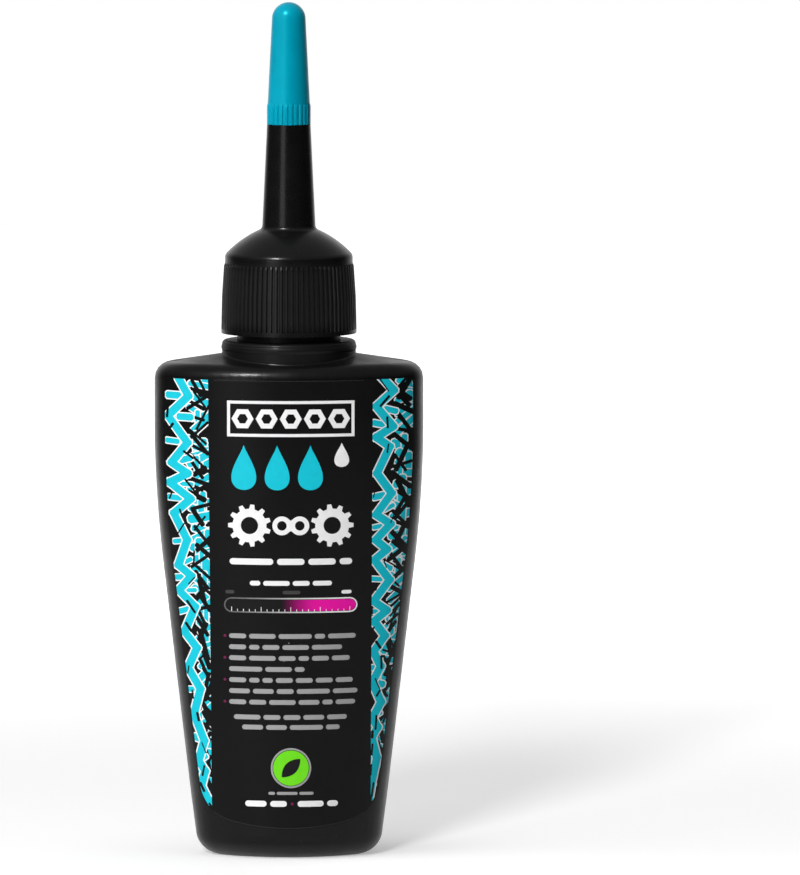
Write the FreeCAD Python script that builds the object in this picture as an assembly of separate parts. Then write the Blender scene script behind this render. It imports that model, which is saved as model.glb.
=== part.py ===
import FreeCAD, Part
import math
import os

# A flat oval squeeze bottle for chain lubricant, with a screw-on spout closure and a push-on tip cap.
# Millimetres. The origin is the centre of the foot, +Z runs up the neck, the label faces -Y.

# Neck and closure fit: the skirt, the bead, the washer and the body's depth follow from these
neck_bore_radius = 7.2
neck_wall = 1.5
thread_depth = 0.9
thread_clearance = 0.2
skirt_wall = 0.86
skirt_draft = 0.46
rib_depth = 0.3
collar_step = 0.12

# Bottle body
body_width = 45.2
front_ledge = 1.6
foot_width = 30.65
foot_depth = 21.0
side_radius_top = 9.5
side_radius_foot = 7.5
bottle_wall = 1.0
foot_corner_radius = 4.2
shoulder_corner_radius = 2.8
push_up_depth = 0.9
push_up_slope = 2.0
standing_ring_width = 1.6
wall_steps = 14

# Heights of the body: the bend lies below the widest point, the upright side and the shoulder above it
widest_height = 73.3
bend_height = 23.2
upright_height = 9.8
shoulder_rise = 3.4
shoulder_top_share = 0.3

# Neck
neck_foot_fillet = 0.3
rim_to_bead = 2.3
bead_height = 1.75
bead_bulge = 0.13
bead_corner_height = 0.7
bead_corner_depth = 0.65
bead_corner_bulge = 0.2
bead_to_lip_gap = 1.15
neck_above_lip = 11.4

# Sealing washer
washer_thickness = 1.0
washer_edge_clearance = 0.2
washer_overhang = 1.0

# Nozzle closure
skirt_lip_height = 0.7
rib_count = 78
rib_band_height = 11.1
rib_end_height = 0.5
rib_bulge = 0.1
rib_foot_share = 0.76
rib_crest_share = 0.36
collar_height = 1.4
dome_corner_radius = 1.2
dome_bulge = 0.42
dome_rise = 4.4
dome_hollow_radius = 7.4
dome_wall = 1.3
spout_root_radius = 4.5
spout_root_fillet = 0.9
spout_ledge_radius = 3.67
spout_height = 17.6
nose_root_radius = 2.8
nose_end_radius = 1.95
nose_length = 18.0
nozzle_bore_radius = 3.1
nozzle_ledge_bore_radius = 1.75
orifice_radius = 0.75
orifice_length = 2.5

# Tip cap
tip_fit_clearance = 0.08
tip_seat_gap = 0.05
tip_wall = 0.79
tip_top_radius = 2.84
tip_crown_height = 2.3
tip_headroom = 0.3
flute_count = 26
flute_depth = 0.17
flute_step = 0.12
flute_band_height = 3.5
flute_end_height = 0.4
pin_clearance = 0.12
pin_length = 2.0

# Front label
film_thickness = 0.12
glue_gap = 0.03
label_side_margin = 1.5
label_below_rim = 1.9
label_bottom_height = 5.2
label_bottom_arc_radius = 42.0
label_bottom_corner_radius = 7.0
label_top_corner_radius = 1.0

# Radii and heights that follow
neck_radius = neck_bore_radius + neck_wall
skirt_bore_radius = neck_radius + thread_depth + thread_clearance
rib_root_top = skirt_bore_radius + skirt_wall
rib_root_bottom = rib_root_top + skirt_draft
lip_radius = rib_root_bottom + rib_depth
bead_radius = lip_radius
collar_radius = rib_root_top + collar_step
neck_foot_radius = bead_radius - bead_bulge
body_depth = 2.0 * (bead_radius + front_ledge)

taper_end_height = widest_height - bend_height
shoulder_rim_height = widest_height + upright_height
bead_bottom = shoulder_rim_height + rim_to_bead
bead_top = bead_bottom + bead_height
lip_bottom = bead_top + bead_to_lip_gap
neck_top = lip_bottom + neck_above_lip
washer_top = neck_top + washer_thickness
rib_bottom = lip_bottom + skirt_lip_height
rib_top = rib_bottom + rib_band_height
collar_top = rib_top + collar_height
dome_top = collar_top + dome_rise
ledge_height = dome_top + spout_height
nose_top = ledge_height + nose_length
tip_bottom = ledge_height + tip_seat_gap
tip_ceiling = nose_top + tip_headroom
tip_top = tip_ceiling + tip_crown_height


def point(radius, height):
    """A point of a profile that is turned about the neck axis."""
    return FreeCAD.Vector(radius, 0.0, height)


def line(start, end):
    return Part.LineSegment(start, end).toShape()


def arc(start, middle, end):
    return Part.Arc(start, middle, end).toShape()


def chain(points):
    """Straight edges through the points, in order."""
    return [line(a, b) for a, b in zip(points, points[1:])]


def bulged_middle(start, end, bulge):
    """The middle point of an arc that stands out from its chord by bulge, to the left of travel."""
    chord = end - start
    left = FreeCAD.Vector(-chord.z, 0.0, chord.x)
    left.normalize()
    return (start + end) * 0.5 + left * bulge


def turned(edges):
    """A solid of revolution about the neck axis from the edges of a closed half profile."""
    profile = Part.Face(Part.Wire(Part.__sortEdges__(edges)))
    return profile.revolve(FreeCAD.Vector(0, 0, 0), FreeCAD.Vector(0, 0, 1), 360.0)


def edges_between(shape, low, high):
    """The edges of a shape that lie wholly between two heights."""
    slack = 0.01
    return [
        edge for edge in shape.Edges
        if edge.BoundBox.ZMin > low - slack and edge.BoundBox.ZMax < high + slack
    ]


def half_at(height, foot_half, top_half):
    """Half the body's size at a height: a straight taper that bends smoothly into an upright side."""
    slope = (top_half - foot_half) / (0.5 * (taper_end_height + widest_height))
    if height <= taper_end_height:
        return foot_half + slope * height
    if height >= widest_height:
        return top_half
    to_go = widest_height - height
    return top_half - 0.5 * slope * to_go ** 2 / (widest_height - taper_end_height)


def oval_split(half_width, half_depth, side_radius):
    """Radius of the front arc, and the angle from the front axis where it meets the side arc."""
    reach = half_width - side_radius
    front_radius = (reach ** 2 + half_depth ** 2 - side_radius ** 2) / (2.0 * (half_depth - side_radius))
    return front_radius, math.asin(reach / (front_radius - side_radius))


def oval_wire(half_width, half_depth, side_radius, height):
    """An oval of four tangent arcs, flat at front and back and round at the sides."""
    front_radius, split = oval_split(half_width, half_depth, side_radius)
    joint_x = half_width - side_radius + side_radius * math.sin(split)
    joint_y = side_radius * math.cos(split)
    right = FreeCAD.Vector(half_width, 0, height)
    left = FreeCAD.Vector(-half_width, 0, height)
    front = FreeCAD.Vector(0, -half_depth, height)
    back = FreeCAD.Vector(0, half_depth, height)
    front_right = FreeCAD.Vector(joint_x, -joint_y, height)
    back_right = FreeCAD.Vector(joint_x, joint_y, height)
    back_left = FreeCAD.Vector(-joint_x, joint_y, height)
    front_left = FreeCAD.Vector(-joint_x, -joint_y, height)
    return Part.Wire([
        arc(front_right, right, back_right),
        arc(back_right, back, back_left),
        arc(back_left, left, front_left),
        arc(front_left, front, front_right),
    ])


def oval_sizes(height, inset):
    """Half width, half depth and side radius of the body at a height, drawn in by inset."""
    share = height / widest_height if height < widest_height else 1.0
    side_radius = side_radius_foot + (side_radius_top - side_radius_foot) * share
    half_width = half_at(height, 0.5 * foot_width, 0.5 * body_width)
    half_depth = half_at(height, 0.5 * foot_depth, 0.5 * body_depth)
    return half_width - inset, half_depth - inset, side_radius - inset


def body_oval(height, inset):
    return oval_wire(*oval_sizes(height, inset), height)


def wall_form(bottom, top, inset):
    """The body between two heights as one smooth loft through evenly spaced ovals."""
    step = (top - bottom) / wall_steps
    return Part.makeLoft([body_oval(bottom + step * index, inset) for index in range(wall_steps + 1)], True)


def bottle_form(bottom, inset):
    """Body and shoulder, drawn in by inset, with rounded corners; the shoulder is a flat cone on the rim."""
    rim = shoulder_rim_height - inset
    wall = wall_form(bottom, rim, inset)
    top_sizes = [size * shoulder_top_share for size in oval_sizes(rim, inset)]
    top_height = rim + shoulder_rise * (1.0 - shoulder_top_share)
    shoulder = Part.makeLoft([body_oval(rim, inset), oval_wire(*top_sizes, top_height)], True, True)
    form = wall.fuse(shoulder)
    form = form.makeFillet(foot_corner_radius - inset, edges_between(form, bottom, bottom))
    return form.makeFillet(shoulder_corner_radius - inset, edges_between(form, rim, rim))


def make_bottle():
    """Blow-moulded shell: body, shoulder, neck foot, bead ring and plain neck."""
    neck_root = shoulder_rim_height - bottle_wall
    foot_end = point(neck_foot_radius, bead_bottom)
    bead_shoulder = point(neck_foot_radius, bead_top - bead_corner_height)
    bead_end = point(neck_foot_radius - bead_corner_depth, bead_top)
    neck = turned(
        chain([point(0.0, neck_root), point(neck_foot_radius, neck_root), foot_end])
        + [arc(foot_end, bulged_middle(foot_end, bead_shoulder, -bead_bulge), bead_shoulder)]
        + [arc(bead_shoulder, bulged_middle(bead_shoulder, bead_end, -bead_corner_bulge), bead_end)]
        + chain([
            bead_end, point(neck_radius, bead_top), point(neck_radius, neck_top),
            point(0.0, neck_top), point(0.0, neck_root),
        ])
    )
    outside = bottle_form(0.0, 0.0).fuse(neck)
    junction = [
        edge for edge in edges_between(outside, shoulder_rim_height, bead_bottom - neck_foot_fillet)
        if abs(math.hypot(edge.Vertexes[0].X, edge.Vertexes[0].Y) - neck_foot_radius) < 0.01
    ]
    outside = outside.makeFillet(neck_foot_fillet, junction)
    inside_floor = push_up_depth + bottle_wall
    inside = bottle_form(inside_floor, bottle_wall)
    bore = Part.makeCylinder(neck_bore_radius, neck_top - neck_root, FreeCAD.Vector(0, 0, neck_root))
    ring_inset = foot_corner_radius + standing_ring_width
    half_width = 0.5 * foot_width - ring_inset
    half_depth = 0.5 * foot_depth - ring_inset
    side_radius = side_radius_foot - ring_inset
    push_up = Part.makeLoft([
        oval_wire(half_width, half_depth, side_radius, 0.0),
        oval_wire(half_width - push_up_slope, half_depth - push_up_slope, side_radius, push_up_depth),
    ], True, True)
    return outside.cut(inside).cut(bore).cut(push_up)


def make_front_label():
    """Thin film on the front, parallel to the body's sides, with a straight top and a round bottom end."""
    half_top = 0.5 * body_width - label_side_margin
    half_foot = 0.5 * foot_width - label_side_margin
    label_top = shoulder_rim_height - label_below_rim
    bend_middle = 0.5 * (taper_end_height + widest_height)
    half_bottom = half_at(label_bottom_height, half_foot, half_top)
    bottom_sag = label_bottom_arc_radius - math.sqrt(label_bottom_arc_radius ** 2 - half_bottom ** 2)

    def edge_point(side, height):
        return point(side * half_at(height, half_foot, half_top), height)

    def through_edges(solid, height):
        """The edges at a height that run straight through, front to back."""
        return [edge for edge in edges_between(solid, height, height) if edge.BoundBox.XLength < 0.01]

    corner = label_bottom_height + bottom_sag
    outline = [line(edge_point(-1, label_top), edge_point(1, label_top))]
    for side in (-1, 1):
        outline.append(line(edge_point(side, label_top), edge_point(side, widest_height)))
        outline.append(arc(
            edge_point(side, widest_height), edge_point(side, bend_middle), edge_point(side, taper_end_height)
        ))
        outline.append(line(edge_point(side, taper_end_height), edge_point(side, corner)))
    outline.append(arc(edge_point(-1, corner), point(0.0, label_bottom_height), edge_point(1, corner)))
    cutter = Part.Face(Part.Wire(Part.__sortEdges__(outline))).extrude(FreeCAD.Vector(0, -body_depth, 0))
    cutter = cutter.makeFillet(label_bottom_corner_radius, through_edges(cutter, corner))
    cutter = cutter.makeFillet(label_top_corner_radius, through_edges(cutter, label_top))
    film = wall_form(0.0, shoulder_rim_height, -glue_gap - film_thickness).common(cutter)
    return film.cut(wall_form(0.0, shoulder_rim_height, -glue_gap))


def ribbed_ring(count, sections):
    """A solid with straight ribs all round; a section gives height, root radius and crest radius."""
    wires = []
    step = 2.0 * math.pi / count
    foot = 0.5 * rib_foot_share
    top = 0.5 * rib_crest_share
    for height, root, crest in sections:
        corners = []
        for index in range(count):
            for offset, radius in ((-foot, root), (-top, crest), (top, crest), (foot, root)):
                angle = (index + offset) * step
                corners.append(FreeCAD.Vector(radius * math.cos(angle), radius * math.sin(angle), height))
        wires.append(Part.makePolygon(corners + corners[:1]))
    return Part.makeLoft(wires, True, True)


def make_sealing_washer():
    """Soft flat ring that lies on the neck's top face, inside the closure."""
    outer = Part.makeCylinder(
        skirt_bore_radius - washer_edge_clearance, washer_thickness, FreeCAD.Vector(0, 0, neck_top)
    )
    hole = Part.makeCylinder(
        neck_bore_radius - washer_overhang, washer_thickness, FreeCAD.Vector(0, 0, neck_top)
    )
    return outer.cut(hole)


def make_nozzle_cap():
    """One moulding: ribbed skirt with a lip, plain collar, dome and hollow tapered spout with a nose."""
    core_radius = skirt_bore_radius + 0.5 * skirt_wall
    collar_edge = point(collar_radius, collar_top)
    dome_end = point(spout_root_radius, dome_top)
    axis_low = point(0.0, lip_bottom)
    axis_high = point(0.0, nose_top)
    outside = turned(
        chain([
            axis_low, point(lip_radius, lip_bottom), point(lip_radius, rib_bottom),
            point(core_radius, rib_bottom), point(core_radius, rib_top),
            point(collar_radius, rib_top), collar_edge,
        ])
        + [arc(collar_edge, bulged_middle(collar_edge, dome_end, -dome_bulge), dome_end)]
        + chain([
            dome_end, point(spout_ledge_radius, ledge_height), point(nose_root_radius, ledge_height),
            point(nose_end_radius, nose_top), axis_high, axis_low,
        ])
    )
    outside = outside.makeFillet(dome_corner_radius, edges_between(outside, collar_top, collar_top)[:1])
    outside = outside.makeFillet(spout_root_fillet, edges_between(outside, dome_top, dome_top)[:1])
    rib_middle = 0.5 * (rib_bottom + rib_top)
    middle_root = 0.5 * (rib_root_bottom + rib_root_top) + rib_bulge
    ribs = ribbed_ring(rib_count, [
        (rib_bottom, rib_root_bottom, rib_root_bottom + rib_depth),
        (rib_middle, middle_root, middle_root + rib_depth),
        (rib_top - rib_end_height, rib_root_top, rib_root_top + rib_depth),
        (rib_top, rib_root_top, collar_radius),
    ])
    hollow_end = point(dome_hollow_radius, dome_top - dome_rise + dome_wall)
    bore_start = point(nozzle_bore_radius, dome_top - dome_wall)
    inside = turned(
        chain([
            axis_low, point(skirt_bore_radius, lip_bottom), point(skirt_bore_radius, washer_top),
            point(dome_hollow_radius, washer_top), hollow_end, bore_start,
            point(nozzle_ledge_bore_radius, ledge_height),
            point(orifice_radius, nose_top - orifice_length), point(orifice_radius, nose_top),
            axis_high, axis_low,
        ])
    )
    return outside.fuse(ribs).cut(inside)


def make_tip_cap():
    """Push-on cap: tapered thimble with a round crown, a fluted band below and a sealing pin inside."""
    inner_root = nose_root_radius + tip_fit_clearance
    inner_end = nose_end_radius + tip_fit_clearance
    band_crest = inner_root + tip_wall
    band_root = band_crest - flute_depth
    band_core = 0.5 * (inner_root + band_root)
    cone_foot = band_crest - flute_step
    band_top = tip_bottom + flute_band_height
    crown_start = tip_top - tip_top_radius
    crown_edge = point(tip_top_radius, crown_start)
    slant = math.sqrt(0.5) * tip_top_radius
    axis_low = point(0.0, tip_bottom)
    axis_high = point(0.0, tip_top)
    outside = turned(
        chain([
            axis_low, point(band_core, tip_bottom), point(band_core, band_top),
            point(cone_foot, band_top), crown_edge,
        ])
        + [arc(crown_edge, point(slant, crown_start + slant), axis_high), line(axis_high, axis_low)]
    )
    flutes = ribbed_ring(flute_count, [
        (tip_bottom, band_root, band_crest),
        (band_top - flute_end_height, band_root, band_crest),
        (band_top, band_root, cone_foot),
    ])
    inside = turned(chain([
        axis_low, point(inner_root, tip_bottom), point(inner_end, tip_ceiling),
        point(0.0, tip_ceiling), axis_low,
    ]))
    pin = Part.makeCylinder(
        orifice_radius - pin_clearance, pin_length + tip_headroom,
        FreeCAD.Vector(0, 0, nose_top - pin_length),
    )
    return outside.fuse(flutes).cut(inside).fuse(pin)


os.makedirs("parts", exist_ok=True)
for node, shape in (
    ("bottle", make_bottle()),
    ("front_label", make_front_label()),
    ("sealing_washer", make_sealing_washer()),
    ("nozzle_cap", make_nozzle_cap()),
    ("tip_cap", make_tip_cap()),
):
    shape.exportStep("parts/" + node + ".step")
    print(node, shape.isValid(), len(shape.Solids), round(shape.Volume, 1), len(shape.Faces), shape.BoundBox)
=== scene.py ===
import math
import random

import bmesh
import bpy
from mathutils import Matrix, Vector
from mathutils.bvhtree import BVHTree


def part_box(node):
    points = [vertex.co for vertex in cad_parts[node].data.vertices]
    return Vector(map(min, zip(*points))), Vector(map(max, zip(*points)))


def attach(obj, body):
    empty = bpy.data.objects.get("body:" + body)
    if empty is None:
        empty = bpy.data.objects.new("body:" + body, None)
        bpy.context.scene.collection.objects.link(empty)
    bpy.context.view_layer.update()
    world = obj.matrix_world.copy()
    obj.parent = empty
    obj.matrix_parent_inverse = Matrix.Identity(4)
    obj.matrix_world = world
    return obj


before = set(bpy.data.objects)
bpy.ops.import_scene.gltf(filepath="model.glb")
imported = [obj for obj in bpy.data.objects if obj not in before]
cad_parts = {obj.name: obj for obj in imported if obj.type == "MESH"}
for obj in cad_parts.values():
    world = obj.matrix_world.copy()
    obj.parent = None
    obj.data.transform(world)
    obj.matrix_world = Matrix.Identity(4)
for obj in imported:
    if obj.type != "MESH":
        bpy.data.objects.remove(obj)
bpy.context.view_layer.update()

# Bottle
# A flat oval squeeze bottle, blown in one piece from black polyethylene in a mould of two halves.
# Its skin is satin, with a fine grain and specks of dust, duller on the neck, and with a painted grey
# reflection at the foot.
mm = 0.001
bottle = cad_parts["bottle"]
bottle_black = (0.0034, 0.0034, 0.0036)
dust_grey = (0.22, 0.22, 0.22)
neck_foot, neck_top = 83.5 * mm, 101.0 * mm
neck_fade = 1.0 * mm
foot_reflection_height = 2.6 * mm
foot_reflection_fade = 0.8 * foot_reflection_height
mottle_scale = 140.0
mottle_dark, mottle_light = 0.75, 1.25
speck_scale = 420.0
speck_size = 0.05
rub_scale = 420.0
rub_low, rub_high = 0.3, 0.7
grain_scale = 3600.0
grain_depth = 0.02 * mm
polish_roughness = 0.14


def shader_node(tree, kind, inputs, **settings):
    """Adds a shader node. An input that is another node's output is linked, any other value is set."""
    made = tree.nodes.new("ShaderNode" + kind)
    for name, value in settings.items():
        setattr(made, name, value)
    for name, value in inputs.items():
        if isinstance(value, bpy.types.NodeSocket):
            tree.links.new(value, made.inputs[name])
        else:
            made.inputs[name].default_value = value
    return made


def shaded(colour, strength):
    """A colour made darker or lighter, as the four numbers that a socket takes."""
    return tuple(part * strength for part in colour) + (1.0,)


def new_finish(name):
    """A new material, with its tree of nodes, its shader and the place on the object."""
    material = bpy.data.materials.new(name)
    material.use_nodes = True
    tree = material.node_tree
    place = shader_node(tree, "TexCoord", {}).outputs["Object"]
    return material, tree, tree.nodes["Principled BSDF"], place


def moulded_plastic(name, colour, roughness, specular, grain, dust, polish):
    """Moulded plastic: mottled colour, specks of dust, uneven gloss, fine grain and a thin mould polish."""
    material, tree, shader, place = new_finish(name)
    mottle = shader_node(tree, "TexNoise", {"Vector": place, "Scale": mottle_scale, "Detail": 5.0})
    tint = shader_node(tree, "MixRGB", {
        "Fac": mottle.outputs["Fac"],
        "Color1": shaded(colour, mottle_dark), "Color2": shaded(colour, mottle_light),
    })
    speck = shader_node(tree, "TexVoronoi", {"Vector": place, "Scale": speck_scale})
    small = shader_node(tree, "Math", {0: speck.outputs["Distance"], 1: speck_size}, operation="LESS_THAN")
    few = shader_node(tree, "Math", {0: speck.outputs["Color"], 1: 1.0 - dust}, operation="GREATER_THAN")
    dusty = shader_node(tree, "Math", {0: small.outputs[0], 1: few.outputs[0]}, operation="MULTIPLY")
    skin = shader_node(tree, "MixRGB", {
        "Fac": dusty.outputs[0], "Color1": tint.outputs[0], "Color2": shaded(dust_grey, 1.0),
    })
    tree.links.new(skin.outputs[0], shader.inputs["Base Color"])
    rub = shader_node(tree, "TexNoise", {"Vector": place, "Scale": rub_scale, "Detail": 3.0})
    dullness = shader_node(tree, "MapRange", {
        "Value": rub.outputs["Fac"], "From Min": rub_low, "From Max": rub_high,
        "To Min": roughness[0], "To Max": roughness[1],
    })
    tree.links.new(dullness.outputs[0], shader.inputs["Roughness"])
    skin_grain = shader_node(tree, "TexNoise", {"Vector": place, "Scale": grain_scale, "Detail": 2.0})
    relief = shader_node(tree, "Bump", {
        "Height": skin_grain.outputs["Fac"], "Strength": grain, "Distance": grain_depth,
    })
    tree.links.new(relief.outputs[0], shader.inputs["Normal"])
    shader.inputs["Specular IOR Level"].default_value = specular
    shader.inputs["Coat Weight"].default_value = polish
    shader.inputs["Coat Roughness"].default_value = polish_roughness
    return material


def place_along(tree, axis):
    """The place on the object along one axis."""
    place = shader_node(tree, "TexCoord", {}).outputs["Object"]
    return shader_node(tree, "SeparateXYZ", {"Vector": place}).outputs[axis]


def matt_band(material, low, high, fade, grey, rougher):
    """Makes a skin matt and greyer between two heights, with soft ends."""
    tree = material.node_tree
    shader = tree.nodes["Principled BSDF"]
    middle, half = 0.5 * (low + high), 0.5 * (high - low)
    offset = shader_node(tree, "Math", {0: place_along(tree, "Z"), 1: middle}, operation="SUBTRACT")
    away = shader_node(tree, "Math", {0: offset.outputs[0]}, operation="ABSOLUTE")
    share = shader_node(tree, "MapRange", {
        "Value": away.outputs[0], "From Min": half, "From Max": half - fade,
    })
    tint = shader_node(tree, "MixRGB", {
        "Fac": share.outputs[0], "Color1": shader.inputs["Base Color"].links[0].from_socket,
        "Color2": (grey, grey, grey, 1.0),
    }, blend_type="ADD")
    tree.links.new(tint.outputs[0], shader.inputs["Base Color"])
    dullness = shader_node(tree, "Math", {
        0: share.outputs[0], 1: rougher, 2: shader.inputs["Roughness"].links[0].from_socket,
    }, operation="MULTIPLY_ADD")
    tree.links.new(dullness.outputs[0], shader.inputs["Roughness"])


def dress(node, material):
    """Gives a carried-over node its finish."""
    node.data.materials.clear()
    node.data.materials.append(material)


bottle_skin = moulded_plastic(
    "bottle_skin", bottle_black, roughness=(0.26, 0.34), specular=0.13, grain=0.25, dust=0.12, polish=0.07,
)
matt_band(bottle_skin, neck_foot, neck_top, neck_fade, grey=0.0, rougher=0.2)
# Grey is painted on the foot as a reflection of the pale floor, and the skin there is made duller.
matt_band(bottle_skin, -foot_reflection_height, foot_reflection_height, foot_reflection_fade, grey=0.03, rougher=0.1)
dress(bottle, bottle_skin)

# Neck thread
# The bottle's screw thread: one blunt ridge, blown with the neck, that winds up it right-handed.
# Its ends fade into the neck, and it shows when the closure is turned off.
pitch = 3.175 * mm
thread_base = 1.5 * mm
thread_crest = 0.6 * mm
thread_sink = 0.1 * mm
thread_fade = 0.15
steps_in_turn = 72
neck_radius = 8.7 * mm
neck_thread_radius = 9.55 * mm
neck_thread_bottom = 90.6 * mm
neck_thread_turns = 2.1


def piece(name, mesh, body, material):
    """Turns a mesh under work into a finished piece that rides on a body of the frame."""
    bmesh.ops.recalc_face_normals(mesh, faces=mesh.faces)
    data = bpy.data.meshes.new(name)
    mesh.to_mesh(data)
    mesh.free()
    made = bpy.data.objects.new(name, data)
    bpy.context.scene.collection.objects.link(made)
    data.materials.append(material)
    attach(made, body)
    return made


def skin_rings(mesh, rings):
    """Joins rings of as many corners into one closed skin, with a face at each end."""
    for low, high in zip(rings, rings[1:]):
        for corner in range(len(low)):
            after = (corner + 1) % len(low)
            mesh.faces.new((low[corner], low[after], high[after], high[corner]))
    mesh.faces.new(rings[0])
    mesh.faces.new(rings[-1])


def thread_ridge(wall_radius, crest_radius, bottom, turns):
    """A ridge of trapezoid section wound about the neck, sunk a little into its wall, with fading ends."""
    ridge = bmesh.new()
    root = wall_radius + math.copysign(thread_sink, wall_radius - crest_radius)
    steps = round(turns * steps_in_turn)
    rings = []
    for step in range(steps + 1):
        turn = turns * step / steps
        share = min(1.0, turn / thread_fade, (turns - turn) / thread_fade)
        angle = 2.0 * math.pi * turn
        height = bottom + pitch * turn
        crest = root + (crest_radius - root) * math.sin(0.5 * math.pi * share)
        section = (
            (root, -0.5 * thread_base), (crest, -0.5 * thread_crest),
            (crest, 0.5 * thread_crest), (root, 0.5 * thread_base),
        )
        rings.append([
            ridge.verts.new((radius * math.cos(angle), radius * math.sin(angle), height + rise))
            for radius, rise in section
        ])
    skin_rings(ridge, rings)
    for face in ridge.faces:
        face.smooth = True
    return ridge


piece(
    "neck_thread", thread_ridge(neck_radius, neck_thread_radius, neck_thread_bottom, neck_thread_turns),
    "bottle", bottle_skin,
)

# Mould seam
# The fine ridge that is left on the bottle where the two halves of its mould meet, up both narrow sides.
# It is the bottle's own plastic, and it dies out at the foot and on the shoulder.
seam_width = 0.35 * mm
seam_height = 0.06 * mm
seam_sink = 0.02 * mm
seam_foot = 2.5 * mm
seam_turn_x, seam_turn_z = 14.0 * mm, 72.0 * mm
seam_start = 60.0 * mm
side_steps, shoulder_steps, fade_steps = 48, 24, 6.0


def surface_of(node):
    """A node's faces, ready for rays to be cast on them."""
    places = [vertex.co.copy() for vertex in node.data.vertices]
    return BVHTree.FromPolygons(places, [list(face.vertices) for face in node.data.polygons])


def seam_ridge(side):
    """A low ridge up one narrow side of the bottle and in over its shoulder, with fading ends."""
    rays = []
    for step in range(side_steps):
        height = seam_foot + (seam_turn_z - seam_foot) * step / side_steps
        rays.append((Vector((0.0, 0.0, height)), Vector((side, 0.0, 0.0))))
    for step in range(shoulder_steps + 1):
        rise = 0.5 * math.pi * step / shoulder_steps
        outwards = Vector((side * math.cos(rise), 0.0, math.sin(rise)))
        rays.append((Vector((side * seam_turn_x, 0.0, seam_turn_z)), outwards))
    ridge = bmesh.new()
    rings = []
    for index, (middle, outwards) in enumerate(rays):
        wall, facing = bottle_wall.ray_cast(middle + seam_start * outwards, -outwards)[:2]
        if facing.dot(outwards) < 0.0:
            facing = -facing
        share = min(1.0, (index + 0.5) / fade_steps, (len(rays) - 0.5 - index) / fade_steps)
        base = wall - seam_sink * facing
        crest = wall + (seam_height * share - seam_sink * (1.0 - share)) * facing
        reach = Vector((0.0, 0.5 * seam_width, 0.0))
        rings.append([ridge.verts.new(place) for place in (base - reach, crest, base + reach)])
    skin_rings(ridge, rings)
    return ridge


bottle_wall = surface_of(bottle)
for seam_name, side in (("left_seam", -1.0), ("right_seam", 1.0)):
    piece(seam_name, seam_ridge(side), "bottle", bottle_skin)

# Front label
# A printed black film with a satin varnish, stuck on the front by its glued back.
# Its edges stand a little proud of the bottle.
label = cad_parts["front_label"]
film_black = (0.0036, 0.0036, 0.0038)
dress(label, moulded_plastic(
    "label_varnish", film_black, roughness=(0.28, 0.36), specular=0.11, grain=0.12, dust=0.18, polish=0.0,
))

# Side strips
# Borders screened along both edges of the film: a cyan zigzag with a white edge and bars in its bays, and
# beside it cyan slabs and posts, crossed by slashes where the black film shows. A stroke is cut back where
# a later one covers it, so that the inks lie side by side in one coat. Print is measured in millimetres.
ink_white = (0.90, 0.90, 0.90)
ink_cyan = (0.008, 0.56, 0.69)
ink_lift = 0.03
ink_mottle_scale = 900.0
ink_dark, ink_light = 0.90, 1.06
ink_roughness = (0.38, 0.48)
ink_specular = 0.15
cut_width, cut_height = 0.45, 2.5
cut_tolerance = 1e-5
weld_distance = 0.002
ray_start = -100.0 * mm
halvings = 24
beyond_film = 30.0
smallest_scrap = 0.004
strip_margin = 0.25
narrowest_strip = 0.1
strip_rows, row_inset = 160, 0.05
strip_overrun = 1.0
white_edge = 0.19
slab_spacing, slab_lean, slab_width = (1.3, 2.3), (0.3, 2.4), (0.8, 1.5)
slab_start, slab_end = (0.55, 0.7), 1.05
post_share, post_rise, post_drop = 0.6, 1.0, (1.0, 4.0)
post_place, post_width = (0.66, 0.98), (0.7, 1.3)
slash_spacing, slash_drop, slash_width = (0.7, 1.9), (0.6, 4.2), (0.35, 0.95)
slash_from, slash_to = (0.5, 0.7), (0.82, 1.1)
backslash_share, backslash_from, backslash_to = 0.5, (0.85, 1.1), (0.5, 0.75)
zigzag_width = 1.35
zigzag_left, zigzag_right = (0.05, 0.14), (0.42, 0.6)
zigzag_drops = (1.7, 2.6, 3.5, 4.4)
zigzag_above, zigzag_below = 1.5, 2.0
empty_bays = 0.35
bay_shift, bay_width = (-0.5, 0.5), (0.5, 0.9)
bay_start, bay_end = 0.1, 0.4
nick_spacing, nick_drop, nick_width = (2.0, 5.0), (0.8, 2.4), (0.2, 0.5)
nick_place, nick_lean = (0.0, 0.6), (-0.25, 0.25)
film = surface_of(label)
film_bottom, film_top = (corner.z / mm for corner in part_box("front_label"))


def on_film(x, z):
    """The place on the film's front for a flat place in millimetres, and the way it faces."""
    return film.ray_cast(Vector((x * mm, ray_start, z * mm)), Vector((0.0, 1.0, 0.0)))[:2]


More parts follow.
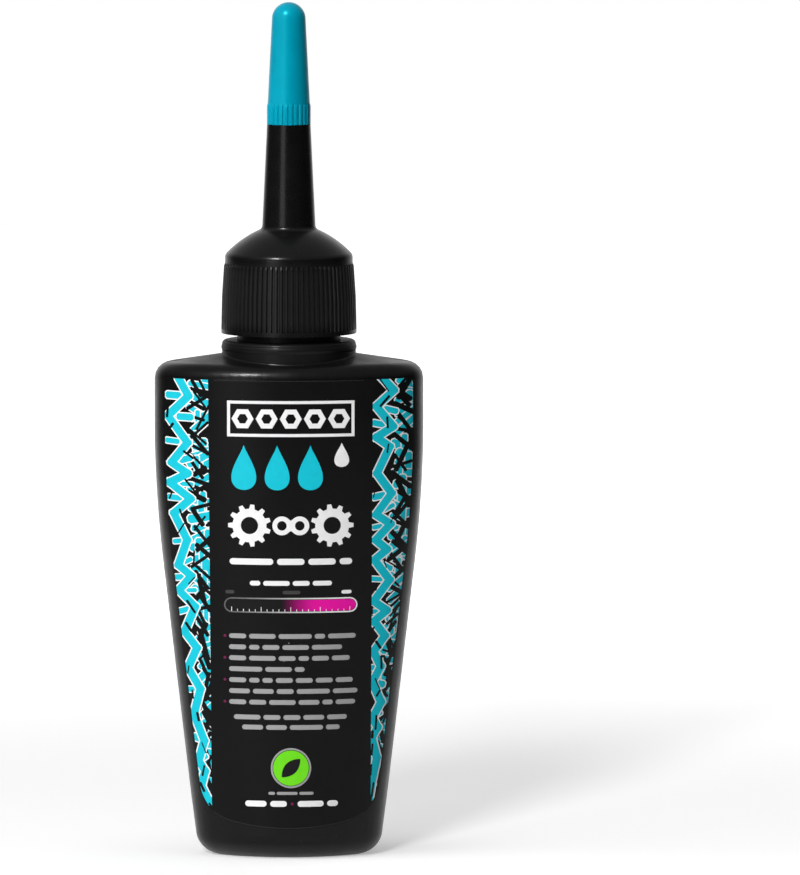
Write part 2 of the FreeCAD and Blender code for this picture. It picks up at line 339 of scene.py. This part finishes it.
def print_ink(name, shapes, material, layer=1):
    """Lays flat shapes on the film as one thin coat. A higher layer covers a lower one."""
    coat = bmesh.new()
    for shape in shapes:
        coat.faces.new([coat.verts.new((x, 0.0, z)) for x, z in shape])
    bmesh.ops.triangulate(coat, faces=coat.faces)
    for axis, spacing in ((0, cut_width), (2, cut_height)):
        places = [vert.co[axis] for vert in coat.verts]
        normal = [0.0, 0.0, 0.0]
        normal[axis] = 1.0
        for cut in range(math.ceil(min(places) / spacing), math.floor(max(places) / spacing) + 1):
            parts = coat.verts[:] + coat.edges[:] + coat.faces[:]
            point = [cut * spacing * part for part in normal]
            bmesh.ops.bisect_plane(coat, geom=parts, dist=cut_tolerance, plane_co=point, plane_no=normal)
    bmesh.ops.remove_doubles(coat, verts=coat.verts, dist=weld_distance)
    bmesh.ops.dissolve_degenerate(coat, edges=coat.edges, dist=weld_distance)
    for vert in coat.verts:
        place, facing = on_film(vert.co.x, vert.co.z)
        if facing.y > 0.0:
            facing = -facing
        vert.co = place + facing * (ink_lift * layer * mm)
    made = piece(name, coat, "bottle", material)
    coat_depth = made.modifiers.new("coat_depth", "SOLIDIFY")
    coat_depth.thickness = 0.5 * ink_lift * mm
    coat_depth.offset = -1.0


def screen_ink(name, colour):
    """Screen ink: a colour with a faint mottle and a satin skin."""
    material, tree, shader, place = new_finish(name)
    mottle = shader_node(tree, "TexNoise", {"Vector": place, "Scale": ink_mottle_scale, "Detail": 6.0})
    tint = shader_node(tree, "MixRGB", {
        "Fac": mottle.outputs["Fac"],
        "Color1": shaded(colour, ink_dark), "Color2": shaded(colour, ink_light),
    })
    tree.links.new(tint.outputs[0], shader.inputs["Base Color"])
    dullness = shader_node(tree, "MapRange", {
        "Value": mottle.outputs["Fac"], "From Min": rub_low, "From Max": rub_high,
        "To Min": ink_roughness[0], "To Max": ink_roughness[1],
    })
    tree.links.new(dullness.outputs[0], shader.inputs["Roughness"])
    shader.inputs["Specular IOR Level"].default_value = ink_specular
    return material


def film_limit(on, off, place):
    """The film's edge between a number whose place is on the film and one whose place is beside it."""
    for _ in range(halvings):
        halfway = 0.5 * (on + off)
        if on_film(*place(halfway))[0] is None:
            off = halfway
        else:
            on = halfway
    return on


def film_reach(z):
    """How far the film reaches to the side at a height."""
    return film_limit(0.0, beyond_film, lambda x: (x, z))


def area(shape):
    """The area of a flat shape, below zero where its corners run clockwise."""
    return 0.5 * sum(a[0] * b[1] - b[0] * a[1] for a, b in zip(shape, shape[1:] + shape[:1]))


def split(shape, start, end):
    """The parts of a convex shape to the left and to the right of a line."""
    left, right = [], []
    for here, following in zip(shape, shape[1:] + shape[:1]):
        a, b = (
            (end[0] - start[0]) * (place[1] - start[1]) - (end[1] - start[1]) * (place[0] - start[0])
            for place in (here, following)
        )
        if a >= 0.0:
            left.append(here)
        if a <= 0.0:
            right.append(here)
        if a * b < 0.0:
            share = a / (a - b)
            meeting = tuple(p + (q - p) * share for p, q in zip(here, following))
            left.append(meeting)
            right.append(meeting)
    return left, right


def inside(shape, outline):
    """The part of a convex shape that lies within a convex outline."""
    for start, end in zip(outline, outline[1:] + outline[:1]):
        shape = split(shape, start, end)[0]
    return shape


def outside(shape, outline):
    """What a convex outline leaves uncovered of a convex shape, as convex shapes."""
    if area(inside(shape, outline)) < smallest_scrap:
        return [shape]
    uncovered = []
    for start, end in zip(outline, outline[1:] + outline[:1]):
        shape, beyond = split(shape, start, end)
        uncovered.append(beyond)
    return [part for part in uncovered if area(part) > smallest_scrap]


def stroke(start, end, width):
    """A straight brush stroke with blunt ends."""
    along = (Vector(end) - Vector(start)).normalized() * (0.5 * width)
    across = Vector((-along.y, along.x))
    tail = ((-0.5, 1.0), (-1.0, 0.5), (-1.0, -0.5), (-0.5, -1.0))
    head = ((0.5, -1.0), (1.0, -0.5), (1.0, 0.5), (0.5, 1.0))
    outline = [Vector(start) + along * a + across * b for a, b in tail]
    outline += [Vector(end) + along * a + across * b for a, b in head]
    return [tuple(place) for place in outline]


def strip_strokes(left, right, rng):
    """The strokes of a strip in the order of printing. Left and right give its edges at a height."""
    strokes = []

    def at(across, z):
        """A place in the strip, by its share of the way from the left edge to the right one."""
        return (left(z) + across * (right(z) - left(z)), z)

    def paint(path, width):
        """Cyan strokes along a path, on white ones that are a little wider."""
        lines = list(zip(path, path[1:]))
        strokes.extend(("white", stroke(a, b, width + 2.0 * white_edge)) for a, b in lines)
        strokes.extend(("cyan", stroke(a, b, width)) for a, b in lines)

    z = film_top + strip_overrun
    while z > film_bottom:
        lean = rng.choice((-1.0, 1.0)) * rng.uniform(*slab_lean)
        paint([at(rng.uniform(*slab_start), z), at(slab_end, z + lean)], rng.uniform(*slab_width))
        if rng.random() < post_share:
            across = rng.uniform(*post_place)
            post = [at(across, z + post_rise), at(across, z - rng.uniform(*post_drop))]
            paint(post, rng.uniform(*post_width))
        z -= rng.uniform(*slab_spacing)
    z = film_top + strip_overrun
    while z > film_bottom:
        drop = rng.uniform(*slash_drop)
        ends = [at(rng.uniform(*slash_from), z), at(rng.uniform(*slash_to), z - drop)]
        if rng.random() < backslash_share:
            ends = [at(rng.uniform(*backslash_from), z), at(rng.uniform(*backslash_to), z - drop)]
        strokes.append(("black", stroke(*ends, rng.uniform(*slash_width))))
        z -= rng.uniform(*slash_spacing)
    zigzag = []
    at_left = rng.random() < 0.5
    z = film_top + zigzag_above
    while z > film_bottom - zigzag_below:
        zigzag.append(at(rng.uniform(*(zigzag_left if at_left else zigzag_right)), z))
        z -= rng.choice(zigzag_drops)
        at_left = not at_left
    for high, turn, low in zip(zigzag, zigzag[1:], zigzag[2:]):
        if rng.random() < empty_bays:
            continue
        mouth = 0.5 * (Vector(high) + Vector(low)) + Vector((0.0, rng.uniform(*bay_shift)))
        bay = Vector(turn) - mouth
        paint([mouth - bay_start * bay, mouth + bay_end * bay], zigzag_width * rng.uniform(*bay_width))
    paint(zigzag, zigzag_width)
    z = film_top
    while z > film_bottom:
        across = rng.uniform(*nick_place)
        lean = rng.uniform(*nick_lean)
        ends = [at(across, z), at(across + lean, z - rng.uniform(*nick_drop))]
        strokes.append(("black", stroke(*ends, rng.uniform(*nick_width))))
        z -= rng.uniform(*nick_spacing)
    return strokes


def print_strip(name, inner_top, inner_bottom, seed):
    """Screens one border between the film's edge and a straight inner edge."""

    def inner_edge(z):
        """How far across the strip's straight inner edge lies at a height."""
        return inner_bottom + (inner_top - inner_bottom) * (z - film_bottom) / (film_top - film_bottom)

    def outer_edge(z):
        """How far across the strip's outer edge lies at a height, a margin inside the film's."""
        reach = film_reach(min(max(z, heights[0]), heights[-1])) - strip_margin
        return math.copysign(reach, inner_top)

    height = film_top - film_bottom - 2.0 * row_inset
    heights = [film_bottom + row_inset + height * row / strip_rows for row in range(strip_rows + 1)]
    rows = [z for z in heights if abs(outer_edge(z)) > abs(inner_edge(z)) + narrowest_strip]
    field = [(inner_edge(z), z) for z in (rows[-1], rows[0])] + [(outer_edge(z), z) for z in rows]
    if area(field) < 0.0:
        field.reverse()
    edges = (outer_edge, inner_edge) if inner_top < 0.0 else (inner_edge, outer_edge)
    strokes = [(ink, inside(shape, field)) for ink, shape in strip_strokes(*edges, random.Random(seed))]
    strokes = [(ink, shape) for ink, shape in strokes if len(shape) > 2 and area(shape) > smallest_scrap]
    visible = {"white": [], "cyan": [], "black": []}
    for index, (ink, shape) in enumerate(strokes):
        parts = [shape]
        for _, cover in strokes[index + 1:]:
            parts = [scrap for part in parts for scrap in outside(part, cover)]
        visible[ink].extend(parts)
    print_ink(name + "_edges", visible["white"], white_ink)
    print_ink(name + "_strokes", visible["cyan"], cyan_ink)


white_ink = screen_ink("white_ink", ink_white)
cyan_ink = screen_ink("cyan_ink", ink_cyan)
print_strip("left_strip", inner_top=-13.6, inner_bottom=-13.0, seed=11)
print_strip("right_strip", inner_top=14.1, inner_bottom=13.7, seed=29)

# Film edge
# A fine lighter line along the film's cut top and along its rounded lower end: partly the film's pale core,
# partly a painted highlight on the edge.
# It is laid like a print, as one thin coat just inside the cut.
core_and_highlight_grey = (0.018, 0.018, 0.019)
edge_line_width = 0.14
edge_line_inset = 0.06
edge_line_reach = 12.6
edge_line_steps = 24
below_film = 1.0


def film_foot(x):
    """The height of the film's lower end at a place across it."""
    return film_limit(0.5 * (film_bottom + film_top), film_bottom - below_film, lambda z: (x, z))


def rectangle(left, low, right, high):
    """The corners of an upright rectangle."""
    return [(left, low), (right, low), (right, high), (left, high)]


edge_line_places = [edge_line_reach * (step / edge_line_steps - 1.0) for step in range(2 * edge_line_steps + 1)]
lower_end = [(x, film_foot(x) + edge_line_inset) for x in edge_line_places]
film_edge = [
    (a, b, (b[0], b[1] + edge_line_width), (a[0], a[1] + edge_line_width)) for a, b in zip(lower_end, lower_end[1:])
]
cut_top = film_top - edge_line_inset
film_edge += [rectangle(a, cut_top - edge_line_width, b, cut_top) for a, b in zip(edge_line_places, edge_line_places[1:])]
# The line's grey is partly the film's core and partly a painted edge highlight.
print_ink("film_edge", film_edge, screen_ink("core_and_highlight_grey", core_and_highlight_grey))

# Framed row
# A white frame near the film's top with a row of hexagon rings, screened in one ink.
# It is the largest white field of the label's upper end.
print_middle = 0.3
frame_left, frame_right = print_middle - 10.7, print_middle + 10.7
frame_low, frame_high = 71.7, 77.75
frame_line = 0.5
ring_count, ring_spacing = 5, 4.05
ring_radius, ring_hole = 1.85, 0.9
round_corners, hexagon_corners = 48, 6


def disc(x, z, radius, corners):
    """A round or many-sided outline."""
    turns = [2.0 * math.pi * corner / corners for corner in range(corners)]
    return [(x + radius * math.cos(turn), z + radius * math.sin(turn)) for turn in turns]


def band(outer, inner):
    """The strip between two closed outlines of as many points, as four-sided shapes."""
    following = list(range(1, len(outer))) + [0]
    return [(outer[i], outer[j], inner[j], inner[i]) for i, j in enumerate(following)]


framed_row = band(
    rectangle(frame_left, frame_low, frame_right, frame_high),
    rectangle(
        frame_left + frame_line, frame_low + frame_line, frame_right - frame_line, frame_high - frame_line,
    ),
)
ring_z = 0.5 * (frame_low + frame_high)
for index in range(ring_count):
    ring_x = print_middle + (index - ring_count // 2) * ring_spacing
    framed_row += band(
        disc(ring_x, ring_z, ring_radius, hexagon_corners), disc(ring_x, ring_z, ring_hole, hexagon_corners),
    )
print_ink("framed_row", framed_row, white_ink)

# Drops
# Three cyan drops of oil and a small white one, screened under the frame.
# Each is round below and drawn out to a point above.
drop_height, small_drop_height = 66.5, 68.6
drop_places, small_drop_place = (-7.9, -2.3, 3.3), 8.55
drop_size, small_drop_size = (4.9, 7.6), (2.9, 4.1)
drop_swell, drop_pinch = 0.62, 1.6


def drop_outline(x, z, size):
    """A drop of a width and a height about its middle."""
    outline = []
    for step in range(round_corners):
        angle = 2.0 * math.pi * step / round_corners
        pinch = abs(math.sin(0.5 * angle)) ** drop_pinch
        swell = drop_swell * size[0] * math.sin(angle) * pinch
        outline.append((x + swell, z + 0.5 * size[1] * math.cos(angle)))
    return outline


cyan_drops = [drop_outline(print_middle + x, drop_height, drop_size) for x in drop_places]
print_ink("cyan_drops", cyan_drops, cyan_ink)
small_drop = drop_outline(print_middle + small_drop_place, small_drop_height, small_drop_size)
print_ink("white_drop", [small_drop], white_ink)

# Cogs and link
# Two white cogs with a link plate between them, screened across the middle of the label.
# Their holes are left open, so that the film shows through.
chain_height = 56.7
cog_place = 6.95
cog_radius, cog_root, cog_hole = 3.6, 2.85, 1.45
cog_teeth = 11
link_half, link_end, link_waist, link_hole = 1.5, 1.6, 1.0, 0.8
least_rise = 1e-6


def cog(x, z, start):
    """A cog about its hole, turned by a share of a tooth."""
    tooth_form = ((0.0, cog_root), (0.2, cog_root), (0.34, cog_radius), (0.66, cog_radius), (0.8, cog_root))
    rim = [
        (2.0 * math.pi * (tooth + share + start) / cog_teeth, radius)
        for tooth in range(cog_teeth) for share, radius in tooth_form
    ]
    return band(
        [(x + radius * math.cos(angle), z + radius * math.sin(angle)) for angle, radius in rim],
        [(x + cog_hole * math.cos(angle), z + cog_hole * math.sin(angle)) for angle, radius in rim],
    )


def half_link(x, z, side):
    """One end of a link plate about its hole, out to the plate's middle."""
    rim, hole = [], []
    for step in range(round_corners):
        angle = 2.0 * math.pi * step / round_corners
        run, rise = math.cos(angle), math.sin(angle)
        reach = link_end
        if run > 0.0 and abs(link_end * rise) < link_waist:
            reach = min(link_half / run, link_waist / max(abs(rise), least_rise))
        rim.append((x + side * (reach * run - link_half), z + reach * rise))
        hole.append((x + side * (link_hole * run - link_half), z + link_hole * rise))
    return band(rim, hole)


cogs = cog(print_middle - cog_place, chain_height, start=0.0)
cogs += cog(print_middle + cog_place, chain_height, start=0.5)
print_ink("cogs", cogs, white_ink)
link = half_link(print_middle, chain_height, side=1.0)
link += half_link(print_middle, chain_height, side=-1.0)
print_ink("link", link, white_ink)

# Small print
# Rows of plain round-ended bars of uneven length: a heading, the gauge's captions, notes and a foot line.
# They are screened in white, light grey and, barely seen, dark grey, with pink dots beside the notes.
ink_grey = (0.36, 0.36, 0.36)
ink_faint = (0.05, 0.05, 0.05)
ink_pink = (0.16, 0.012, 0.07)
heading_reach, heading_height, heading_thick = 10.3, 50.6, 1.05
subheading_reach, subheading_height, subheading_thick = 6.9, 46.95, 0.8
caption_height, caption_thick = 45.4, 0.6
right_caption, middle_caption, left_caption = (8.5, 10.2), (-1.4, 1.6), (-11.0, -9.5)
foot_height, foot_thick = 9.5, 1.0
foot_left, foot_mark, foot_right = (-7.7, -0.7), 0.2, (1.1, 7.9)
foot_mark_radius, note_mark_radius, mark_corners = 0.26, 0.24, 16
note_top, note_spacing, note_thick = 37.95, 1.867, 0.8
note_start, note_mark = -10.4, -11.1
note_ends = (10.9, 8.6, 9.9, 2.3, 10.4, 11.2, 10.8)
marked_notes = (0, 2, 4, 6)
last_notes = ((-9.6, 9.4, 24.2, note_thick), (-8.2, 8.2, 22.5, note_thick), (-3.8, 3.8, 11.3, 0.5))
bar_lengths = (2.2, 3.6, 4.4, 5.6, 7.0)
shortest_row, last_bar_room, bar_gap = 1.6, 2.4, 0.6
bar_end_steps = 8
bar_seed = 5


def bar(left, right, z, height):
    """A bar with round ends."""
    radius = 0.5 * height
    turn = [math.pi * step / bar_end_steps for step in range(bar_end_steps + 1)]
    right_end = [(right - radius + radius * math.sin(a), z + radius * math.cos(a)) for a in turn]
    left_end = [(left + radius - radius * math.sin(a), z - radius * math.cos(a)) for a in turn]
    return right_end + left_end


def bar_row(rng, left, right, z, height):
    """A row of bars between two places, given from the print's middle."""
    left, right = print_middle + left, print_middle + right
    bars = []
    while right - left > shortest_row * height:
        length = height * rng.choice(bar_lengths)
        if right - left - length < last_bar_room * height:
            length = right - left
        bars.append(bar(left, left + length, z, height))
        left += length + bar_gap * height
    return bars


def caption(left, right):
    """One bar over the gauge."""
    return bar(print_middle + left, print_middle + right, caption_height, caption_thick)


rng = random.Random(bar_seed)
grey_ink = screen_ink("grey_ink", ink_grey)
heading = bar_row(rng, -heading_reach, heading_reach, heading_height, heading_thick)
heading += bar_row(rng, -subheading_reach, subheading_reach, subheading_height, subheading_thick)
heading += bar_row(rng, *foot_left, foot_height, foot_thick)
heading += bar_row(rng, *foot_right, foot_height, foot_thick)
heading.append(caption(*right_caption))
print_ink("heading", heading, white_ink)
notes = []
marks = [disc(print_middle + foot_mark, foot_height, foot_mark_radius, mark_corners)]
for row, note_end in enumerate(note_ends):
    row_z = note_top - note_spacing * row
    notes += bar_row(rng, note_start, note_end, row_z, note_thick)
    if row in marked_notes:
        marks.append(disc(print_middle + note_mark, row_z, note_mark_radius, mark_corners))
for last_note in last_notes:
    notes += bar_row(rng, *last_note)
print_ink("notes", notes, grey_ink)
print_ink("note_marks", marks, screen_ink("pink_ink", ink_pink))
faint_captions = [caption(*left_caption), caption(*middle_caption)]
print_ink("faint_captions", faint_captions, screen_ink("faint_ink", ink_faint))

# Gauge
# A long round-ended scale. Its fill fades from black to magenta, and its thin rim from grey to white.
# A row of white ticks is screened over the fill.
ink_magenta = (0.82, 0.008, 0.36)
rim_grey = (0.12, 0.12, 0.12)
gauge_left, gauge_right = print_middle - 11.25, print_middle + 11.2
gauge_height, gauge_tall = 43.2, 2.55
gauge_line = 0.22
gauge_inset = gauge_line + 0.1
fade_start, fade_end = -1.5, 5.5
tick_spaces, long_tick_spaces = 20, 5
tick_inset, tick_half = 1.3, 0.05
tick_tall, long_tick_tall = 0.4, 0.75


def fading_ink(name, left_colour, right_colour, left, right):
    """Screen ink that fades from one colour to another between two places across the film."""
    material = screen_ink(name, right_colour)
    tree = material.node_tree
    shader = tree.nodes["Principled BSDF"]
    share = shader_node(tree, "MapRange", {
        "Value": place_along(tree, "X"), "From Min": left * mm, "From Max": right * mm,
    }, interpolation_type="SMOOTHSTEP")
    tint = shader_node(tree, "MixRGB", {
        "Fac": share.outputs[0], "Color1": shaded(left_colour, 1.0),
        "Color2": shader.inputs["Base Color"].links[0].from_socket,
    })
    tree.links.new(tint.outputs[0], shader.inputs["Base Color"])
    return material


def gauge_bar(inset):
    """The gauge's outline, drawn in by an inset."""
    return bar(gauge_left + inset, gauge_right - inset, gauge_height, gauge_tall - 2.0 * inset)


rim_fade = fading_ink("rim_fade", rim_grey, ink_white, gauge_left, gauge_right)
print_ink("gauge_rim", band(gauge_bar(0.0), gauge_bar(gauge_line)), rim_fade)
gauge_fade = fading_ink("gauge_fade", film_black, ink_magenta, fade_start, fade_end)
print_ink("gauge_fill", [gauge_bar(gauge_inset)], gauge_fade)
ticks = []
tick_low = gauge_height - 0.5 * gauge_tall + gauge_line
for tick in range(tick_spaces + 1):
    tick_x = gauge_left + tick_inset + tick * (gauge_right - gauge_left - 2.0 * tick_inset) / tick_spaces
    tall = long_tick_tall if tick % long_tick_spaces == 0 else tick_tall
    ticks.append(rectangle(tick_x - tick_half, tick_low, tick_x + tick_half, tick_low + tall))
print_ink("gauge_ticks", ticks, white_ink, layer=2)

# Leaf on a disc
# A green disc in a thin grey ring with a black leaf on it, screened near the film's foot.
# The leaf's ink lies over the green.
ink_green = (0.17, 0.76, 0.018)
ink_black = (0.006, 0.006, 0.0065)
disc_height = 15.6
rim_radius, rim_hole, disc_radius = 3.4, 3.1, 3.0
disc_corners = 64
leaf_half, leaf_belly = 1.55, 0.75
leaf_steps, leaf_fullness = 12, 0.8
print_ink("disc_rim", band(
    disc(print_middle, disc_height, rim_radius, disc_corners),
    disc(print_middle, disc_height, rim_hole, disc_corners),
), grey_ink)
green_disc = disc(print_middle, disc_height, disc_radius, disc_corners)
print_ink("green_disc", [green_disc], screen_ink("green_ink", ink_green))
leaf = []
for step in range(2 * leaf_steps):
    along = step / leaf_steps
    swell = math.sin(math.pi * (along % 1.0)) ** leaf_fullness
    run = (2.0 * along - 1.0) if along <= 1.0 else (3.0 - 2.0 * along)
    lift = swell if along <= 1.0 else -swell
    leaf.append((
        print_middle + leaf_half * run - leaf_belly * lift,
        disc_height + leaf_half * run + leaf_belly * lift,
    ))
print_ink("leaf", [leaf], screen_ink("black_ink", ink_black), layer=2)

# Sealing washer
# A soft white foam ring that lies on the neck's top face inside the closure, held by its edge.
# Its skin is matt and full of tiny cells.
washer_white = (0.78, 0.78, 0.75)
dress(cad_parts["sealing_washer"], moulded_plastic(
    "washer_foam", washer_white, roughness=(0.75, 0.9), specular=0.3, grain=1.0, dust=0.0, polish=0.0,
))

# Nozzle cap
# The screw closure with its long spout, moulded in one piece from black polypropylene.
# Its spout and dome are glossier than the bottle, and the ribs of its skirt are matt, with a little grey
# painted on them as their sheen.
nozzle_black = (0.0036, 0.0036, 0.0037)
rib_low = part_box("nozzle_cap")[0].z + 0.4 * mm
rib_high = rib_low + 12.0 * mm
rib_fade = 2.0 * mm
nozzle_skin = moulded_plastic(
    "nozzle_skin", nozzle_black, roughness=(0.24, 0.32), specular=0.16, grain=0.15, dust=0.12, polish=0.08,
)
# The grey added on the ribs is painted sheen, and the extra roughness makes them matt.
matt_band(nozzle_skin, rib_low, rib_high, rib_fade, grey=0.003, rougher=0.25)
dress(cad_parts["nozzle_cap"], nozzle_skin)

# Cap thread
# The closure's own ridge on the inside of the skirt, half a pitch from the neck's, so that the two mesh.
# It is moulded with the closure and turns with it.
skirt_bore = 9.8 * mm
cap_thread_radius = 8.95 * mm
cap_thread_bottom = neck_thread_bottom + 0.5 * pitch
cap_thread_turns = 1.6
piece(
    "cap_thread", thread_ridge(skirt_bore, cap_thread_radius, cap_thread_bottom, cap_thread_turns),
    "nozzle", nozzle_skin,
)

# Tip cap
# A small push-on cap of cyan polyethylene that closes the spout, with a fluted band to pull it by.
# It is moulded in one piece and has a soft gloss.
tip_cyan = (0.0, 0.30, 0.43)
tip_shine = (0.08, 1.0, 1.0)
tip_skin = moulded_plastic(
    "tip_skin", tip_cyan, roughness=(0.28, 0.36), specular=0.5, grain=0.1, dust=0.03, polish=0.0,
)
tip_skin.node_tree.nodes["Principled BSDF"].inputs["Specular Tint"].default_value = shaded(tip_shine, 1.0)
dress(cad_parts["tip_cap"], tip_skin)

# Floor
# A sheet of pale studio paper that keeps the shadow and bounces little light up on the bottle.
# Where it is looked at it glows: a little beside the shadow, and more with the distance, so that it runs
# into the white behind.
floor_front, floor_side, floor_back = -0.4, 0.3, 1.5
bounced_paper = (0.30, 0.30, 0.30, 1.0)
seen_paper = (0.80, 0.80, 0.80, 1.0)
white = (1.0, 1.0, 1.0, 1.0)
near_glow, far_glow = 0.345, 1.0
near_floor, far_floor = 0.1, 0.6
shadow_turn = math.radians(-20.0)
across_shadow = (math.cos(shadow_turn), math.sin(shadow_turn), 0.0)
beside_glow, beside_width = 0.06, 0.02


def greater(tree, first, second):
    """The greater of two outputs."""
    return shader_node(tree, "Math", {0: first, 1: second}, operation="MAXIMUM").outputs[0]


floor_mesh = bmesh.new()
floor_mesh.faces.new([
    floor_mesh.verts.new((x, y, 0.0))
    for x, y in rectangle(-floor_side, floor_front, floor_side, floor_back)
])
floor_data = bpy.data.meshes.new("floor")
floor_mesh.to_mesh(floor_data)
floor_mesh.free()
floor = bpy.data.objects.new("floor", floor_data)
bpy.context.scene.collection.objects.link(floor)
floor_white = bpy.data.materials.new("floor_white")
floor_white.use_nodes = True
floor_tree = floor_white.node_tree
floor_tree.nodes.clear()
bounced = shader_node(floor_tree, "BsdfDiffuse", {"Color": bounced_paper})
seen = shader_node(floor_tree, "BsdfDiffuse", {"Color": seen_paper})
floor_place = shader_node(floor_tree, "TexCoord", {}).outputs["Object"]
distance = shader_node(floor_tree, "VectorMath", {0: floor_place}, operation="LENGTH")
brighter = shader_node(floor_tree, "MapRange", {
    "Value": distance.outputs["Value"], "From Min": near_floor, "From Max": far_floor,
    "To Min": near_glow, "To Max": far_glow,
}, interpolation_type="SMOOTHSTEP")
across = shader_node(floor_tree, "VectorMath", {0: floor_place, 1: across_shadow}, operation="DOT_PRODUCT")
beside = shader_node(floor_tree, "MapRange", {
    "Value": across.outputs["Value"], "From Min": 0.0, "From Max": beside_width, "To Max": beside_glow,
}, interpolation_type="SMOOTHSTEP")
evened = shader_node(floor_tree, "Math", {0: brighter.outputs[0], 1: beside.outputs[0]}, operation="ADD")
glow = shader_node(floor_tree, "Emission", {"Color": white, "Strength": evened.outputs[0]})
glowing = shader_node(floor_tree, "AddShader", {0: seen.outputs[0], 1: glow.outputs[0]})
floor_ray = shader_node(floor_tree, "LightPath", {}).outputs
mirrored = greater(floor_tree, floor_ray["Is Glossy Ray"], floor_ray["Is Transmission Ray"])
looked_at = greater(floor_tree, floor_ray["Is Camera Ray"], mirrored)
floor_shader = shader_node(floor_tree, "MixShader", {
    "Fac": looked_at, 1: bounced.outputs[0], 2: glowing.outputs[0],
})
shader_node(floor_tree, "OutputMaterial", {"Surface": floor_shader.outputs[0]})
floor_data.materials.append(floor_white)

# Room
# The white backdrop that the lens sees, which also shows in gloss from behind and, weaker, from above.
# The light that it sheds is faint, and stronger from behind than from the front.
backdrop_start, backdrop_end = 0.62, 0.95
ceiling_start, ceiling_end, ceiling_share = 0.25, 0.6, 0.38
shed_start, shed_end = 0.5, 1.0
front_light, back_light = 0.04, 0.5
world = bpy.data.worlds.new("studio")
bpy.context.scene.world = world
world.use_nodes = True
world_tree = world.node_tree
world_tree.nodes.clear()
ray = shader_node(world_tree, "LightPath", {}).outputs
direction = shader_node(world_tree, "TexCoord", {}).outputs["Generated"]
towards = shader_node(world_tree, "SeparateXYZ", {"Vector": direction}).outputs
behind = shader_node(world_tree, "MapRange", {
    "Value": towards["Y"], "From Min": backdrop_start, "From Max": backdrop_end,
})
above = shader_node(world_tree, "MapRange", {
    "Value": towards["Z"], "From Min": ceiling_start, "From Max": ceiling_end, "To Max": ceiling_share,
})
around = greater(world_tree, behind.outputs[0], above.outputs[0])
in_gloss = shader_node(world_tree, "Math", {0: ray["Is Glossy Ray"], 1: around}, operation="MULTIPLY")
through = greater(world_tree, in_gloss.outputs[0], ray["Is Transmission Ray"])
in_view = greater(world_tree, through, ray["Is Camera Ray"])
shed = shader_node(world_tree, "MapRange", {
    "Value": towards["Y"], "From Min": shed_start, "From Max": shed_end,
    "To Min": front_light, "To Max": back_light,
})
room = shader_node(world_tree, "Background", {"Color": white, "Strength": shed.outputs[0]})
backdrop = shader_node(world_tree, "Background", {"Color": white, "Strength": 1.0})
studio = shader_node(world_tree, "MixShader", {"Fac": in_view, 1: room.outputs[0], 2: backdrop.outputs[0]})
shader_node(world_tree, "OutputWorld", {"Surface": studio.outputs[0]})

# Lamps
# A small key lamp at the front left casts the shadow, and a broad low one at the left and a weak one above
# fill it. A glint lamp shows only in gloss, and a low panel lays the streak on the spout.
aim_height = 70.0 * mm


def softbox(name, bearing, elevation, distance, size, power):
    """A rectangular studio lamp that faces the object. Its bearing runs rightwards from the camera."""
    lamp = bpy.data.lights.new(name, "AREA")
    lamp.shape = "RECTANGLE"
    lamp.size, lamp.size_y = size
    lamp.energy = power
    made = bpy.data.objects.new(name, lamp)
    turn, rise = math.radians(bearing), math.radians(elevation)
    away = Vector((math.sin(turn) * math.cos(rise), -math.cos(turn) * math.cos(rise), math.sin(rise)))
    made.location = Vector((0.0, 0.0, aim_height)) + away * distance
    made.rotation_euler = (-away).to_track_quat("-Z", "Y").to_euler()
    bpy.context.scene.collection.objects.link(made)
    return made


key = softbox("key", bearing=-14.5, elevation=28.0, distance=1.8, size=(0.32, 0.32), power=18.5)
side_lamp = softbox("side", bearing=-62.0, elevation=20.0, distance=1.5, size=(1.8, 1.0), power=17.5)
overhead = softbox("overhead", bearing=0.0, elevation=85.0, distance=1.2, size=(0.5, 0.5), power=3.5)
for lamp in (key, side_lamp, overhead):
    lamp.visible_glossy = False
glint = softbox("glint", bearing=-29.0, elevation=44.0, distance=1.8, size=(0.28, 0.28), power=31.0)
glint.visible_diffuse = False
softbox("strip", bearing=-29.0, elevation=6.0, distance=1.6, size=(0.60, 0.5), power=2.8)

# Camera
# A long lens straight in front of the label, a little higher than the bottle, as in the photograph.
# The bottle's axis stands to the left of the picture's middle.
photo_width, photo_height = 800, 875
pixels_in_mm = 5.945
axis_column = 288.6
lens_distance = 2.6
lens_height = 0.29
centre_height = 70.5 * mm
sensor = 36.0
camera = bpy.data.cameras.new("camera")
camera.sensor_fit = "AUTO"
camera.sensor_width = sensor
camera.lens = sensor * lens_distance / (photo_height / pixels_in_mm * mm)
camera.clip_end = 50.0
viewpoint = bpy.data.objects.new("camera", camera)
viewpoint.location = (0.0, -lens_distance, lens_height)
centre = Vector(((0.5 * photo_width - axis_column) / pixels_in_mm * mm, 0.0, centre_height))
viewpoint.rotation_euler = (centre - viewpoint.location).to_track_quat("-Z", "Y").to_euler()
bpy.context.scene.collection.objects.link(viewpoint)
bpy.context.scene.camera = viewpoint
bpy.context.scene.view_settings.view_transform = "Standard"
